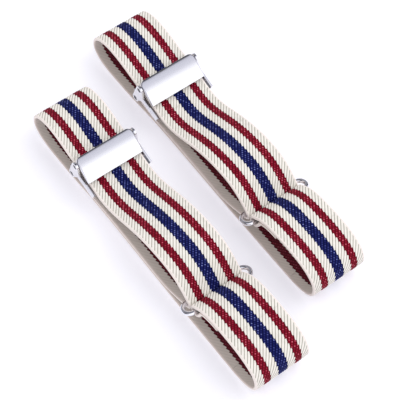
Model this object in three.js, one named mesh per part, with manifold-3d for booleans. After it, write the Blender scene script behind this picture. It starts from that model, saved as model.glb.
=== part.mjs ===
// A pair of gentleman's sleeve garters: two elastic armbands of striped webbing, each with a
// chrome wire ring and a chrome lever slide that grips the webbing.
//
// Each band lies flat as a closed loop.  Its webbing is one length: the end is sewn round one bar
// of the ring, the strap runs round the loop, through the slide, over to the ring's other bar,
// round it and back underneath, and its other end is sewn round the bar of the slide.
//
// Millimetres, +Z up, +X along the bands, origin on the table under the middle of the pair.
// Profiles are drawn in each band's side view, with x along the band and y standing for height.

import * as THREE from 'three';
import { mergeVertices } from 'three/addons/utils/BufferGeometryUtils.js';
import Module from 'manifold-3d';

const wasm = await Module();
wasm.setup();

// ---- Driving dimensions ----------------------------------------------------------------------

// Where the two bands lie
const PAIR_GAP_ALONG = 17.8;
const PAIR_PITCH_ACROSS = 41.5;

// Webbing
const STRAP_WIDTH = 25;
const STRAP_THICK = 1.4;
const CLEARANCE = 0.3;
const CUT = 0.3;

// Loop of one band, over the webbing
const LOOP_LENGTH = 146.4;
const LEFT_CREST_X = -60;
const LEFT_HEIGHT = 18;
const RIGHT_CREST_X = 55;
const RIGHT_HEIGHT = 19.6;
const HUMP_CREST_X = 15;
const HUMP_HEIGHT = 19.4;
const FOOT_INSET = 13.5;
const FOOT_LENGTH_LEFT = 6;
const FOOT_LENGTH_RIGHT = 24;
const BASE_ARCH = 1.6;
const ARCH_X = -27.5;
const FRONT_SHARE = 0.6;
const RETURN_LANDING_X = 11;
const RETURN_LIFTOFF_X = -22;

// How steeply the webbing leaves each bar it goes round, in degrees
const RIGHT_RISE = 43;
const TAIL_RISE = 56;
const HUMP_FALL = 42;
const RETURN_FALL = 22;
const BAR_RISE = 26;
const BAR_FALL = 48;

// How firmly the webbing holds its heading at the ends of a run, as shares of the run's span
const PULL = 0.36;
const FLAT_PULL = 0.4;
const CREST_PULL = 0.42;
const TIP_PULL = 0.38;
const TIP_SHARE = 0.465;
const RIGHT_EASE = 0.58;

// Wire ring
const RING_WIRE_RADIUS = 0.95;
const RING_LENGTH = 32.6;
const RING_WRAP_GAP = 0.4;
const RING_TILT = 16;
const RING_X = 33;
const RING_Z = 10.4;
const WELD = 0.05;

// Lever slide, in its own tilted frame: x to the lip, y up from the underside of its bed
const SLIDE_X_A = -37.5;
const SLIDE_X_B = -34.7;
const SLIDE_Z = 10.3;
const SLIDE_TILT = 14;
const BED_REAR = -7.2;
const BED_FRONT = 9;
const BED_THICK = 0.6;
const SIDE_THICK = 0.8;
const RAIL_HEIGHT = 2.4;
const RAIL_DROP = 0.5;
const CHANNEL_LEAD = 1;
const LEVER_WIDTH = 26.2;
const LEVER_SHEET = 0.6;
const LEVER_REACH = 8.3;
const LIP_GAP = 1.5;
const LEVER_LEAVE = 72;
const LEVER_SPREAD = 14;
const LEVER_PULL = 0.34;
const KNUCKLE_X = -4.2;
const KNUCKLE_RADIUS = 2.2;
const TOOTH_HEIGHT = 0.5;
const TOOTH_WIDTH = 1;
const TOOTH_COUNT = 12;
const TOOTH_ANGLE = 285;
const TOOTH_SPREAD = 16;
const TOOTH_ROOT = 0.3;
const PIN_RADIUS = 0.8;
const PIN_FIT = 0.3;
const STRAP_BAR_X = -4.9;
const STRAP_BAR_DROP = 3.2;
const STRAP_BAR_RADIUS = 0.8;
const EAR_MARGIN = 1.15;
const BAR_MARGIN = 1;
const EAR_FLARE = 1.6;

// Sewn ends
const SEWN_TAIL = 15;
const SEWN_MERGE = 6;
const SLIDE_TAIL = 11;
const STITCH_THROW = 3;
const STITCH_WIDTH = 0.6;
const STITCH_THICK = 0.4;
const STITCH_COUNT = 16;
const STITCH_INSET = 1.5;

// Resolution of the curves
const TOUCH = 1e-3;
const ARC_STEP = 15;
const RUN_STEPS = 14;
const BAR_SIDES = 20;
const KNUCKLE_SIDES = 28;
const WIRE_SIDES = 12;
const RING_END_STEPS = 12;

// ---- Materials -------------------------------------------------------------------------------

const webbing = new THREE.MeshStandardMaterial({ color: 0xe4ded4, roughness: 0.9, metalness: 0 });
const thread = new THREE.MeshStandardMaterial({ color: 0xf1ece2, roughness: 0.8, metalness: 0 });
const chrome = new THREE.MeshStandardMaterial({ color: 0xdfe1ea, roughness: 0.12, metalness: 1 });

// ---- Small tools for plane curves ------------------------------------------------------------

const rad = THREE.MathUtils.degToRad;
const vec = (x, y) => new THREE.Vector2(x, y);
const heading = (degrees) => vec(Math.cos(rad(degrees)), Math.sin(rad(degrees)));

// A point on a circle round centre, at an angle from +x
const onCircle = (centre, radius, degrees) => heading(degrees).multiplyScalar(radius).add(centre);

// Points of a clockwise stretch of a circle, from one angle down to another
function clockwise(centre, radius, from, to) {
  const steps = Math.ceil((from - to) / ARC_STEP);
  const points = [];
  for (let i = 0; i <= steps; i += 1) {
    points.push(onCircle(centre, radius, from + ((to - from) * i) / steps));
  }
  return points;
}

// Points of a smooth run from one point and heading to another; the pulls are the lengths of its
// handles as shares of the span
function run(start, startHeading, end, endHeading, pullStart = PULL, pullEnd = pullStart) {
  const span = start.distanceTo(end);
  const handleA = heading(startHeading).multiplyScalar(span * pullStart).add(start);
  const handleB = heading(endHeading).multiplyScalar(-span * pullEnd).add(end);
  return new THREE.CubicBezierCurve(start, handleA, handleB, end).getPoints(RUN_STEPS);
}

// Chains stretches whose ends meet into one list of points
function chain(...stretches) {
  const points = [];
  for (const stretch of stretches) {
    for (const point of stretch) {
      const last = points[points.length - 1];
      if (!last || last.distanceTo(point) > 1e-6) points.push(point);
    }
  }
  return points;
}

// Unit normals on the left of a list of points
function leftNormals(points) {
  return points.map((point, i) => {
    const before = points[Math.max(i - 1, 0)];
    const after = points[Math.min(i + 1, points.length - 1)];
    const along = after.clone().sub(before).normalize();
    return vec(-along.y, along.x);
  });
}

// The same points moved to their left by a distance
function shifted(points, distance) {
  const normals = leftNormals(points);
  return points.map((point, i) => normals[i].clone().multiplyScalar(distance).add(point));
}

// Heading of a list of points at one of them, in degrees
function headingAt(points, i) {
  const before = points[Math.max(i - 1, 0)];
  const after = points[Math.min(i + 1, points.length - 1)];
  return THREE.MathUtils.radToDeg(after.clone().sub(before).angle());
}

// Length of a list of points
const lengthOf = (points) => new THREE.Path(points).getLength();

// The stretch of a list of points between two distances along it
function between(points, from, to) {
  const whole = lengthOf(points);
  const path = new THREE.Path(points);
  let distance = 0;
  const inside = points.filter((point, i) => {
    distance += i > 0 ? point.distanceTo(points[i - 1]) : 0;
    return distance > from + TOUCH && distance < to - TOUCH;
  });
  return [path.getPoint(from / whole), ...inside, path.getPoint(to / whole)];
}

// ---- Small tools for solids ------------------------------------------------------------------

// A band of constant thickness along points, as wide as width, centred across the band
function ribbon(points, thick, width) {
  const outline = [...shifted(points, thick / 2), ...shifted(points, -thick / 2).reverse()];
  return slab(outline, -width / 2, width / 2);
}

// A side-view outline extruded across the band from yFrom to yTo
function slab(outline, yFrom, yTo) {
  const shape = new THREE.Shape(outline);
  const geometry = new THREE.ExtrudeGeometry(shape, { depth: yTo - yFrom, bevelEnabled: false });
  geometry.rotateX(Math.PI / 2);
  geometry.translate(0, yTo, 0);
  return geometry;
}

// A round bar across the band
function crossBar(centre, radius, width, sides = BAR_SIDES) {
  const bar = new THREE.CylinderGeometry(radius, radius, width, sides);
  bar.translate(centre.x, 0, centre.y);
  return bar;
}

function toSolid(geometry) {
  const bare = geometry.clone();
  bare.deleteAttribute('normal');
  bare.deleteAttribute('uv');
  const merged = mergeVertices(bare, 1e-4);
  const vertProperties = new Float32Array(merged.attributes.position.array);
  const triVerts = new Uint32Array(merged.index.array);
  return new wasm.Manifold(new wasm.Mesh({ numProp: 3, vertProperties, triVerts }));
}

function toGeometry(solid) {
  const mesh = solid.getMesh();
  const geometry = new THREE.BufferGeometry();
  geometry.setAttribute('position', new THREE.BufferAttribute(new Float32Array(mesh.vertProperties), 3));
  geometry.setIndex(new THREE.BufferAttribute(new Uint32Array(mesh.triVerts), 1));
  geometry.computeVertexNormals();
  return geometry;
}

// ---- Shared places ---------------------------------------------------------------------------

const HALF_THICK = STRAP_THICK / 2;
const LAYER = STRAP_THICK + CLEARANCE;

const webLevel = BED_THICK + CLEARANCE + HALF_THICK;
const webTop = webLevel + HALF_THICK;
const knuckleY = webTop + CLEARANCE + TOOTH_HEIGHT + KNUCKLE_RADIUS;
const lipY = webTop + LIP_GAP;
const lipX = KNUCKLE_X + LEVER_REACH;

// The bars of the ring are as far apart as the two turns of webbing round them need
const ringWrap = RING_WIRE_RADIUS + CLEARANCE + HALF_THICK;
const ringPitch = 2 * (ringWrap + HALF_THICK) + RING_WRAP_GAP;
const ringCentre = vec(RING_X, RING_Z);
const ringLeftBar = onCircle(ringCentre, ringPitch / 2, 180 + RING_TILT);
const ringRightBar = onCircle(ringCentre, ringPitch / 2, RING_TILT);
const barWrap = STRAP_BAR_RADIUS + CLEARANCE + HALF_THICK;

const leftEnd = -LOOP_LENGTH / 2 + HALF_THICK;
const rightEnd = LOOP_LENGTH / 2 - HALF_THICK;
const leftFoot = leftEnd + FOOT_INSET;
const rightFoot = rightEnd - FOOT_INSET;

// ---- Route of the webbing, along its middle --------------------------------------------------

// The strap of a band whose slide sits at slideX: its pieces, and the two tails that are sewn
function strapRoute(slideX) {
  // Turns a point of the slide's own frame into the band's side view
  const fromSlide = (x, y) => {
    return vec(x, y).rotateAround(vec(0, 0), rad(-SLIDE_TILT)).add(vec(slideX, SLIDE_Z));
  };
  const strapBar = fromSlide(STRAP_BAR_X, -STRAP_BAR_DROP);

  // Right end: round the ring's right bar and over the right crest
  const rightStart = onCircle(ringRightBar, ringWrap, 90 + RIGHT_RISE);
  const rightCrest = vec(RIGHT_CREST_X, RIGHT_HEIGHT - HALF_THICK);
  const rightRun = run(rightStart, RIGHT_RISE, rightCrest, 0, PULL, RIGHT_EASE);

  // Its sewn tail closes up to the underside of the run and then follows it
  const underRun = shifted(rightRun, -LAYER);
  const sewnPath = between(underRun, SEWN_MERGE, SEWN_TAIL).reverse();
  const sewnInner = sewnPath[sewnPath.length - 1];
  const sewnHeading = headingAt(sewnPath, sewnPath.length - 1);
  const tailStart = onCircle(ringRightBar, ringWrap, 270 + TAIL_RISE);
  const tailRun = run(sewnInner, sewnHeading, tailStart, 180 + TAIL_RISE);
  const ringEndTurn = clockwise(ringRightBar, ringWrap, 270 + TAIL_RISE, 90 + RIGHT_RISE);

  // Right fold, down to the table
  const rightTip = vec(rightEnd, RIGHT_HEIGHT * TIP_SHARE);
  const rightFold = chain(
    run(rightCrest, 0, rightTip, -90, CREST_PULL, TIP_PULL),
    run(rightTip, -90, vec(rightFoot, HALF_THICK), 180, TIP_PULL, CREST_PULL),
  );

  // Along the table, arched a little under the slide
  const archTop = vec(ARCH_X, HALF_THICK + BASE_ARCH);
  const archStart = vec(rightFoot - FOOT_LENGTH_RIGHT, HALF_THICK);
  const archEnd = vec(leftFoot + FOOT_LENGTH_LEFT, HALF_THICK);
  const baseRun = chain(
    [vec(rightFoot, HALF_THICK), archStart],
    run(archStart, 180, archTop, 180, FLAT_PULL),
    run(archTop, 180, archEnd, 180, FLAT_PULL),
    [archEnd, vec(leftFoot, HALF_THICK)],
  );

  // Left fold, up to the left crest
  const leftCrest = vec(LEFT_CREST_X, LEFT_HEIGHT - HALF_THICK);
  const leftTip = vec(leftEnd, LEFT_HEIGHT * TIP_SHARE);
  const leftFold = chain(
    run(vec(leftFoot, HALF_THICK), 180, leftTip, 90, CREST_PULL, TIP_PULL),
    run(leftTip, 90, leftCrest, 0, TIP_PULL, CREST_PULL),
  );

  // Into the slide, straight through it and out
  const slideEntry = fromSlide(BED_REAR - CHANNEL_LEAD, webLevel);
  const slideExit = fromSlide(BED_FRONT, webLevel);
  const leftRun = run(leftCrest, 0, slideEntry, -SLIDE_TILT);
  const channelRun = [slideEntry, slideExit];

  // Over the hump to the ring's left bar
  const humpCrest = vec(HUMP_CREST_X, HUMP_HEIGHT - HALF_THICK);
  const frontRun = run(slideExit, -SLIDE_TILT, humpCrest, 0, 0.3, 0.5);
  const humpEnd = onCircle(ringLeftBar, ringWrap, 90 - HUMP_FALL);
  const humpFallRun = run(humpCrest, 0, humpEnd, -HUMP_FALL, 0.45, 0.3);
  const ringTurn = clockwise(ringLeftBar, ringWrap, 90 - HUMP_FALL, RETURN_FALL - 90);

  // Back underneath, lying on the run along the table, and up to the slide's strap bar
  const returnStart = onCircle(ringLeftBar, ringWrap, RETURN_FALL - 90);
  const overBase = shifted(baseRun, -LAYER);
  const nearest = (x) => overBase.reduce((best, point) => {
    return Math.abs(point.x - x) < Math.abs(best.x - x) ? point : best;
  });
  const landing = nearest(RETURN_LANDING_X);
  const liftoff = nearest(RETURN_LIFTOFF_X);
  const landingHeading = headingAt(overBase, overBase.indexOf(landing));
  const liftoffHeading = headingAt(overBase, overBase.indexOf(liftoff));
  const returnEnd = onCircle(strapBar, barWrap, 270 - BAR_RISE);
  const onBase = overBase.slice(overBase.indexOf(landing), overBase.indexOf(liftoff) + 1);
  const returnDrop = run(returnStart, 180 + RETURN_FALL, landing, landingHeading, FLAT_PULL);
  const riseRun = run(liftoff, liftoffHeading, returnEnd, 180 - BAR_RISE, FLAT_PULL);

  // Round the strap bar; the tail closes down onto the strap it is sewn to
  const overRise = shifted(riseRun, -LAYER).reverse();
  const barTailPath = between(overRise, SEWN_MERGE, SLIDE_TAIL);
  const barTailHeading = headingAt(barTailPath, 0);
  const barTurn = clockwise(strapBar, barWrap, 270 - BAR_RISE, 90 - BAR_FALL);
  const barTailStart = onCircle(strapBar, barWrap, 90 - BAR_FALL);
  const barTailRun = run(barTailStart, -BAR_FALL, barTailPath[0], barTailHeading);

  // The strap is one length; it is divided where it turns, and where it stretches as the slide moves
  const frontLength = lengthOf(frontRun);
  const frontSplit = frontLength * FRONT_SHARE;
  const pieces = {
    strap_ring_end: chain(sewnPath, tailRun, ringEndTurn, rightRun),
    strap_right_fold: rightFold,
    strap_base_run: baseRun,
    strap_left_fold: leftFold,
    strap_left_run: leftRun,
    strap_in_slide: channelRun,
    strap_front_run: between(frontRun, 0, frontSplit),
    strap_hump: chain(between(frontRun, frontSplit, frontLength), humpFallRun, ringTurn, returnDrop),
    strap_return_run: onBase,
    strap_slide_end: chain(riseRun, barTurn, barTailRun, barTailPath),
  };
  return { pieces, sewnPath, barTailPath };
}

function strapPiece(points) {
  return ribbon(between(points, CUT / 2, lengthOf(points) - CUT / 2), STRAP_THICK, STRAP_WIDTH);
}

// ---- Stitching -------------------------------------------------------------------------------

// One zigzag row of thread across a sewn tail, on the side away from the strap it is sewn to
function zigzagStitch(tailPoints) {
  const outer = shifted(tailPoints, HALF_THICK + CLEARANCE + STITCH_THICK / 2);
  const path = new THREE.Path(outer);
  const place = path.getPoint(0.5);
  const angle = path.getTangent(0.5).angle();
  const pitch = (STRAP_WIDTH - 2 * STITCH_INSET) / STITCH_COUNT;
  const zigzag = [];
  for (let i = 0; i <= STITCH_COUNT; i += 1) {
    const throwSide = i % 2 === 0 ? 0.5 : -0.5;
    zigzag.push(vec(throwSide * STITCH_THROW, (i - STITCH_COUNT / 2) * pitch));
  }
  const outline = new THREE.Shape([
    ...shifted(zigzag, STITCH_WIDTH / 2),
    ...shifted(zigzag, -STITCH_WIDTH / 2).reverse(),
  ]);
  const row = new THREE.ExtrudeGeometry(outline, { depth: STITCH_THICK, bevelEnabled: false });
  row.translate(0, 0, -STITCH_THICK / 2);
  row.rotateY(-angle);
  row.translate(place.x, 0, place.y);
  return row;
}

// ---- Wire ring -------------------------------------------------------------------------------

// The middle of the wire round one end of the ring, from one bar over to the other
class RingEnd extends THREE.Curve {
  constructor(side, bend, straight) {
    super();
    this.side = side;
    this.bend = bend;
    this.straight = straight;
  }

  getPoint(t, target = new THREE.Vector3()) {
    const turn = Math.PI * t;
    const across = this.straight + Math.sin(turn) * this.bend;
    return target.set(this.side * Math.cos(turn) * this.bend, this.side * across, 0);
  }
}

// A ring of round wire with two straight bars and half-round ends, welded into one
function wireRing() {
  const bend = ringPitch / 2;
  const straight = RING_LENGTH / 2 - RING_WIRE_RADIUS - bend;
  const section = new THREE.Shape();
  section.absarc(0, 0, RING_WIRE_RADIUS, 0, Math.PI * 2, false);
  let ring = null;
  for (const side of [-1, 1]) {
    const extrudePath = new RingEnd(side, bend, straight);
    const steps = RING_END_STEPS;
    const end = new THREE.ExtrudeGeometry(section, { steps, curveSegments: WIRE_SIDES / 2, extrudePath });
    const bar = crossBar(vec(side * bend, 0), RING_WIRE_RADIUS, straight * 2 + WELD * 2, WIRE_SIDES);
    const half = toSolid(end).add(toSolid(bar));
    ring = ring ? ring.add(half) : half;
  }
  return toGeometry(ring);
}

// ---- Lever slide -----------------------------------------------------------------------------

const sideInner = LEVER_WIDTH / 2 + CLEARANCE;
const sideOuter = sideInner + SIDE_THICK;
const sideMiddle = (sideInner + sideOuter) / 2;
const pinPlace = vec(KNUCKLE_X, knuckleY);
const barPlace = vec(STRAP_BAR_X, -STRAP_BAR_DROP);

// The stamped body: a flat bed between two side walls, each a low rail with an ear at the rear
// that carries the lever's pin above the bed and the strap bar below it
function slideBody() {
  const pinMargin = PIN_RADIUS + EAR_MARGIN;
  const barMargin = STRAP_BAR_RADIUS + BAR_MARGIN;
  const sideOutline = [
    ...clockwise(pinPlace, pinMargin, 190, 20),
    vec(pinPlace.x + pinMargin + EAR_FLARE, RAIL_HEIGHT),
    vec(BED_FRONT, RAIL_HEIGHT - RAIL_DROP),
    vec(BED_FRONT, 0),
    vec(barPlace.x + barMargin + EAR_FLARE, 0),
    ...clockwise(barPlace, barMargin, 10, -170),
  ];
  const bedOutline = [
    vec(BED_REAR, 0),
    vec(BED_FRONT, 0),
    vec(BED_FRONT, BED_THICK),
    vec(BED_REAR, BED_THICK),
  ];
  let body = toSolid(slab(bedOutline, -sideMiddle, sideMiddle));
  for (const near of [-sideOuter, sideInner]) {
    body = body.add(toSolid(slab(sideOutline, near, near + SIDE_THICK)));
  }
  body = body.subtract(toSolid(crossBar(pinPlace, PIN_RADIUS + PIN_FIT, sideOuter * 3)));
  body = body.subtract(toSolid(crossBar(barPlace, STRAP_BAR_RADIUS + PIN_FIT, sideOuter * 3)));
  return toGeometry(body);
}

// The lever: a chrome sheet curled into a knuckle round its pin, with a lip to lift it by and a
// row of teeth under the knuckle that bite into the webbing
function lever() {
  const sheetMid = KNUCKLE_RADIUS - LEVER_SHEET / 2;
  const start = onCircle(pinPlace, sheetMid, LEVER_LEAVE);
  const lip = vec(lipX, lipY + LEVER_SHEET / 2);
  const startHeading = LEVER_LEAVE - 90;
  const sheet = run(start, startHeading, lip, startHeading - LEVER_SPREAD, LEVER_PULL);
  let body = toSolid(ribbon(sheet, LEVER_SHEET, LEVER_WIDTH));
  body = body.add(toSolid(crossBar(pinPlace, KNUCKLE_RADIUS, LEVER_WIDTH, KNUCKLE_SIDES)));
  const toothOutline = [
    onCircle(pinPlace, KNUCKLE_RADIUS - TOOTH_ROOT, TOOTH_ANGLE - TOOTH_SPREAD),
    onCircle(pinPlace, KNUCKLE_RADIUS - TOOTH_ROOT, TOOTH_ANGLE + TOOTH_SPREAD),
    onCircle(pinPlace, KNUCKLE_RADIUS + TOOTH_HEIGHT, TOOTH_ANGLE),
  ];
  const pitch = (STRAP_WIDTH - TOOTH_WIDTH) / (TOOTH_COUNT - 1);
  for (let i = 0; i < TOOTH_COUNT; i += 1) {
    const near = (i - (TOOTH_COUNT - 1) / 2) * pitch - TOOTH_WIDTH / 2;
    body = body.add(toSolid(slab(toothOutline, near, near + TOOTH_WIDTH)));
  }
  body = body.subtract(toSolid(crossBar(pinPlace, PIN_RADIUS + PIN_FIT, LEVER_WIDTH * 2)));
  return toGeometry(body);
}

// ---- Assembly --------------------------------------------------------------------------------

function named(name, geometry, material) {
  const mesh = new THREE.Mesh(geometry, material);
  mesh.name = name;
  return mesh;
}

function sleeveGarter(suffix, slideX) {
  const band = new THREE.Group();
  const { pieces, sewnPath, barTailPath } = strapRoute(slideX);
  for (const [name, points] of Object.entries(pieces)) {
    band.add(named(name + suffix, strapPiece(points), webbing));
  }
  band.add(named('stitching_ring_end' + suffix, zigzagStitch(sewnPath), thread));
  band.add(named('stitching_slide_end' + suffix, zigzagStitch(barTailPath), thread));

  const ring = named('ring' + suffix, wireRing(), chrome);
  ring.rotation.y = -rad(RING_TILT);
  ring.position.set(RING_X, 0, RING_Z);
  band.add(ring);

  const slide = new THREE.Group();
  slide.rotation.y = rad(SLIDE_TILT);
  slide.position.set(slideX, 0, SLIDE_Z);
  slide.add(named('slide_body' + suffix, slideBody(), chrome));
  slide.add(named('lever' + suffix, lever(), chrome));
  const pin = crossBar(pinPlace, PIN_RADIUS, sideOuter * 2);
  slide.add(named('lever_pin' + suffix, pin, chrome));
  const bar = crossBar(barPlace, STRAP_BAR_RADIUS, sideOuter * 2);
  slide.add(named('strap_bar' + suffix, bar, chrome));
  band.add(slide);
  return band;
}

const pair = new THREE.Group();
const bandA = sleeveGarter('_a', SLIDE_X_A);
bandA.position.set(PAIR_GAP_ALONG / 2, -PAIR_PITCH_ACROSS / 2, 0);
const bandB = sleeveGarter('_b', SLIDE_X_B);
bandB.position.set(-PAIR_GAP_ALONG / 2, PAIR_PITCH_ACROSS / 2, 0);
pair.add(bandA, bandB);

export default pair;
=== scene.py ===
"""A pair of sleeve garters: two armbands of striped elastic webbing lying on their sides, each with
a chrome wire ring and a chrome lever slide.  Metres, +X along the bands, +Y across, +Z up."""

import bmesh
import bpy
import numpy as np
from mathutils import Matrix, Vector


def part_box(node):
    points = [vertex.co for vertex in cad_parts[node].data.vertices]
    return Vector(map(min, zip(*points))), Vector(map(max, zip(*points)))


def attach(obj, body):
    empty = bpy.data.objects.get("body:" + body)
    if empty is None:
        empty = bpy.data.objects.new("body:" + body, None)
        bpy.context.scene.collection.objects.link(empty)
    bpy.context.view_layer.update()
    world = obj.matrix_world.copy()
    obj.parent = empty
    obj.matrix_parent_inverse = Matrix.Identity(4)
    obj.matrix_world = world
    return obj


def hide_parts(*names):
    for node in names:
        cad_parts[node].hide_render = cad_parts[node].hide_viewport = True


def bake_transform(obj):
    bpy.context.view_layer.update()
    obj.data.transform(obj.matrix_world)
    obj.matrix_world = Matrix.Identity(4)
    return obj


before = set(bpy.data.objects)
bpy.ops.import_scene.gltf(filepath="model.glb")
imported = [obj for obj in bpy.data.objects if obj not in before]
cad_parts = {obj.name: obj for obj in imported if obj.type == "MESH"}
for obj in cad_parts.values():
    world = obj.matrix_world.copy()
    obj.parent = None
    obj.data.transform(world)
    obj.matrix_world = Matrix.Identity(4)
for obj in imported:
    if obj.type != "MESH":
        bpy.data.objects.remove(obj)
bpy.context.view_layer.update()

# ---- Camera ------------------------------------------------------------------------------------
# A long lens that looks down on the pair from the near side, with the rings towards the viewer.

VIEW_AZIMUTH = np.radians(51.18)
VIEW_ELEVATION = np.radians(58.74)
VIEW_ROLL = np.radians(2.36)
VIEW_DISTANCE = 0.5918
VIEW_LENS = 135.0
VIEW_CLIP_START = 0.01
VIEW_AIM = np.array([0.0034, 0.0003, 0.0040])

view_back = np.array([
    np.sin(VIEW_AZIMUTH) * np.cos(VIEW_ELEVATION),
    -np.cos(VIEW_AZIMUTH) * np.cos(VIEW_ELEVATION),
    np.sin(VIEW_ELEVATION),
])
level_right = np.array([np.cos(VIEW_AZIMUTH), np.sin(VIEW_AZIMUTH), 0.0])
level_up = np.cross(view_back, level_right)
view_right = level_right * np.cos(VIEW_ROLL) + level_up * np.sin(VIEW_ROLL)
view_up = level_up * np.cos(VIEW_ROLL) - level_right * np.sin(VIEW_ROLL)
camera_data = bpy.data.cameras.new("viewpoint")
camera_data.lens = VIEW_LENS
camera_data.clip_start = VIEW_CLIP_START
camera = bpy.data.objects.new("viewpoint", camera_data)
camera.location = VIEW_AIM + view_back * VIEW_DISTANCE
camera.rotation_euler = Matrix((view_right, view_up, view_back)).transposed().to_euler()
bpy.context.scene.collection.objects.link(camera)
bpy.context.scene.camera = camera

# ---- Table and studio light --------------------------------------------------------------------
# A lit table of white acrylic, whose glow keeps the shadows pale, inside a white tent.  Shiny parts
# see the tent's wall: white on the ring side, lavender grey overhead and dark behind the slides.


def add_node(tree, kind, **settings):
    """One shader node of a kind, with its settings."""
    node = tree.nodes.new(kind)
    for name, value in settings.items():
        setattr(node, name, value)
    return node


def feed(tree, socket, value):
    """Gives a socket a constant or another node's output."""
    if isinstance(value, bpy.types.NodeSocket):
        tree.links.new(value, socket)
    else:
        socket.default_value = value


def math(tree, operation, *values):
    """Output of one Math node."""
    node = add_node(tree, "ShaderNodeMath", operation=operation)
    for socket, value in zip(node.inputs, values):
        feed(tree, socket, value)
    return node.outputs[0]


def mix_colour(tree, share, first, second):
    """Output of a colour mix: first where share is 0, second where it is 1."""
    node = add_node(tree, "ShaderNodeMix", data_type="RGBA")
    feed(tree, node.inputs[0], share)
    feed(tree, node.inputs[6], first)
    feed(tree, node.inputs[7], second)
    return node.outputs[2]


def new_material(name, colour, roughness, metallic=0.0):
    """A material whose Principled shader has constant colour, roughness and metallic."""
    material = bpy.data.materials.new(name)
    material.use_nodes = True
    shader = material.node_tree.nodes["Principled BSDF"]
    shader.inputs["Base Color"].default_value = (*colour, 1)
    shader.inputs["Roughness"].default_value = roughness
    shader.inputs["Metallic"].default_value = metallic
    return material, material.node_tree, shader


TABLE_REACH = 3.0
TABLE_DROP = 0.0002
TABLE_WHITE = (0.68, 0.68, 0.70)
TABLE_ROUGHNESS = 0.8
TABLE_GLOW = (0.90, 0.89, 1.0, 1)
TABLE_GLOW_STRENGTH = 0.43

table_corners = np.array([(-1, -1, 0), (1, -1, 0), (1, 1, 0), (-1, 1, 0)]) * TABLE_REACH
table_mesh = bpy.data.meshes.new("table")
table_mesh.from_pydata(table_corners - [0, 0, TABLE_DROP], [], [(0, 1, 2, 3)])
table_material, _, table_shader = new_material("table", TABLE_WHITE, TABLE_ROUGHNESS)
table_shader.inputs["Emission Color"].default_value = TABLE_GLOW
table_shader.inputs["Emission Strength"].default_value = TABLE_GLOW_STRENGTH
table_mesh.materials.append(table_material)
table = bpy.data.objects.new("table", table_mesh)
bpy.context.scene.collection.objects.link(table)

# What lights cloth evenly, and what shiny parts see from -x (0) to +x (1)
TENT_GLOW = (0.86, 0.86, 0.87, 1)
TENT_WALL = (
    (0.22, (0.30, 0.30, 0.33, 1)),
    (0.36, (0.05, 0.05, 0.06, 1)),
    (0.50, (0.09, 0.09, 0.10, 1)),
    (0.55, (0.64, 0.64, 0.72, 1)),
    (0.69, (0.76, 0.76, 0.84, 1)),
    (0.79, (1.30, 1.30, 1.32, 1)),
)

world = bpy.data.worlds.new("tent")
world.use_nodes = True
tent = world.node_tree
direction = add_node(tent, "ShaderNodeSeparateXYZ")
feed(tent, direction.inputs[0], add_node(tent, "ShaderNodeTexCoord").outputs["Generated"])
wall = add_node(tent, "ShaderNodeValToRGB")
feed(tent, wall.inputs[0], math(tent, "MULTIPLY_ADD", direction.outputs[0], 0.5, 0.5))
while len(wall.color_ramp.elements) < len(TENT_WALL):
    wall.color_ramp.elements.new(0.5)
for element, (position, colour) in zip(wall.color_ramp.elements, TENT_WALL):
    element.position = position
    element.color = colour
shiny = add_node(tent, "ShaderNodeLightPath").outputs["Is Glossy Ray"]
tent_colour = mix_colour(tent, shiny, TENT_GLOW, wall.outputs[0])
feed(tent, tent.nodes["Background"].inputs["Color"], tent_colour)
bpy.context.scene.world = world

SOFT_BOX_FROM = Vector((0.25, 0.45, 0.86)).normalized()
SOFT_BOX_DISTANCE = 0.9
SOFT_BOX_SIZE = 0.8
SOFT_BOX_WATTS = 3.0

soft_box_data = bpy.data.lights.new("soft_box", "AREA")
soft_box_data.shape = "SQUARE"
soft_box_data.size = SOFT_BOX_SIZE
soft_box_data.energy = SOFT_BOX_WATTS
soft_box = bpy.data.objects.new("soft_box", soft_box_data)
soft_box.visible_glossy = False
soft_box.location = SOFT_BOX_FROM * SOFT_BOX_DISTANCE
soft_box.rotation_euler = SOFT_BOX_FROM.to_track_quat("Z", "Y").to_euler()
bpy.context.scene.collection.objects.link(soft_box)

bpy.context.scene.view_settings.view_transform = "Standard"

# ---- Route of the strap ------------------------------------------------------------------------
# One length of webbing a band.  It is sewn round the ring's right bar, runs round the loop and
# through the slide, goes over the ring's left bar and comes back to be sewn to the slide's bar.
# The route is drawn in the band's side view, in millimetres, with the band's middle at x = 0.

MM = 0.001
STRAP_WIDTH = 25.0
STRAP_THICK = 1.4
CLEARANCE = 0.3

# The loop's two folds, its foot on the table and the low arch between its feet
LOOP_LENGTH = 146.4
LEFT_CREST_X, LEFT_HEIGHT = -60.0, 18.0
RIGHT_CREST_X, RIGHT_HEIGHT = 55.0, 19.6
FOOT_INSET, FOOT_LEFT, FOOT_RIGHT = 13.5, 6.0, 24.0
ARCH_X, BASE_ARCH = -27.5, 1.6
TIP_SHARE = 0.465

# The hump, and the run that comes back underneath it
HUMP_CREST_X, HUMP_HEIGHT = 15.0, 19.4
FRONT_SHARE = 0.6
LANDING_X, LIFTOFF_X = 11.0, -22.0

# Slopes in degrees where the strap meets the ring's bars and the slide's bar
RIGHT_RISE, TAIL_RISE = 43, 56
HUMP_FALL, RETURN_FALL = 42, 22
BAR_RISE, BAR_FALL = 26, 48

# Handles of the curves, as shares of their span
PULL, FLAT_PULL, CREST_PULL, TIP_PULL = 0.36, 0.4, 0.42, 0.38
RIGHT_EASE = 0.58
FRONT_PULL, FALL_PULL = (0.3, 0.5), (0.45, 0.3)

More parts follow.
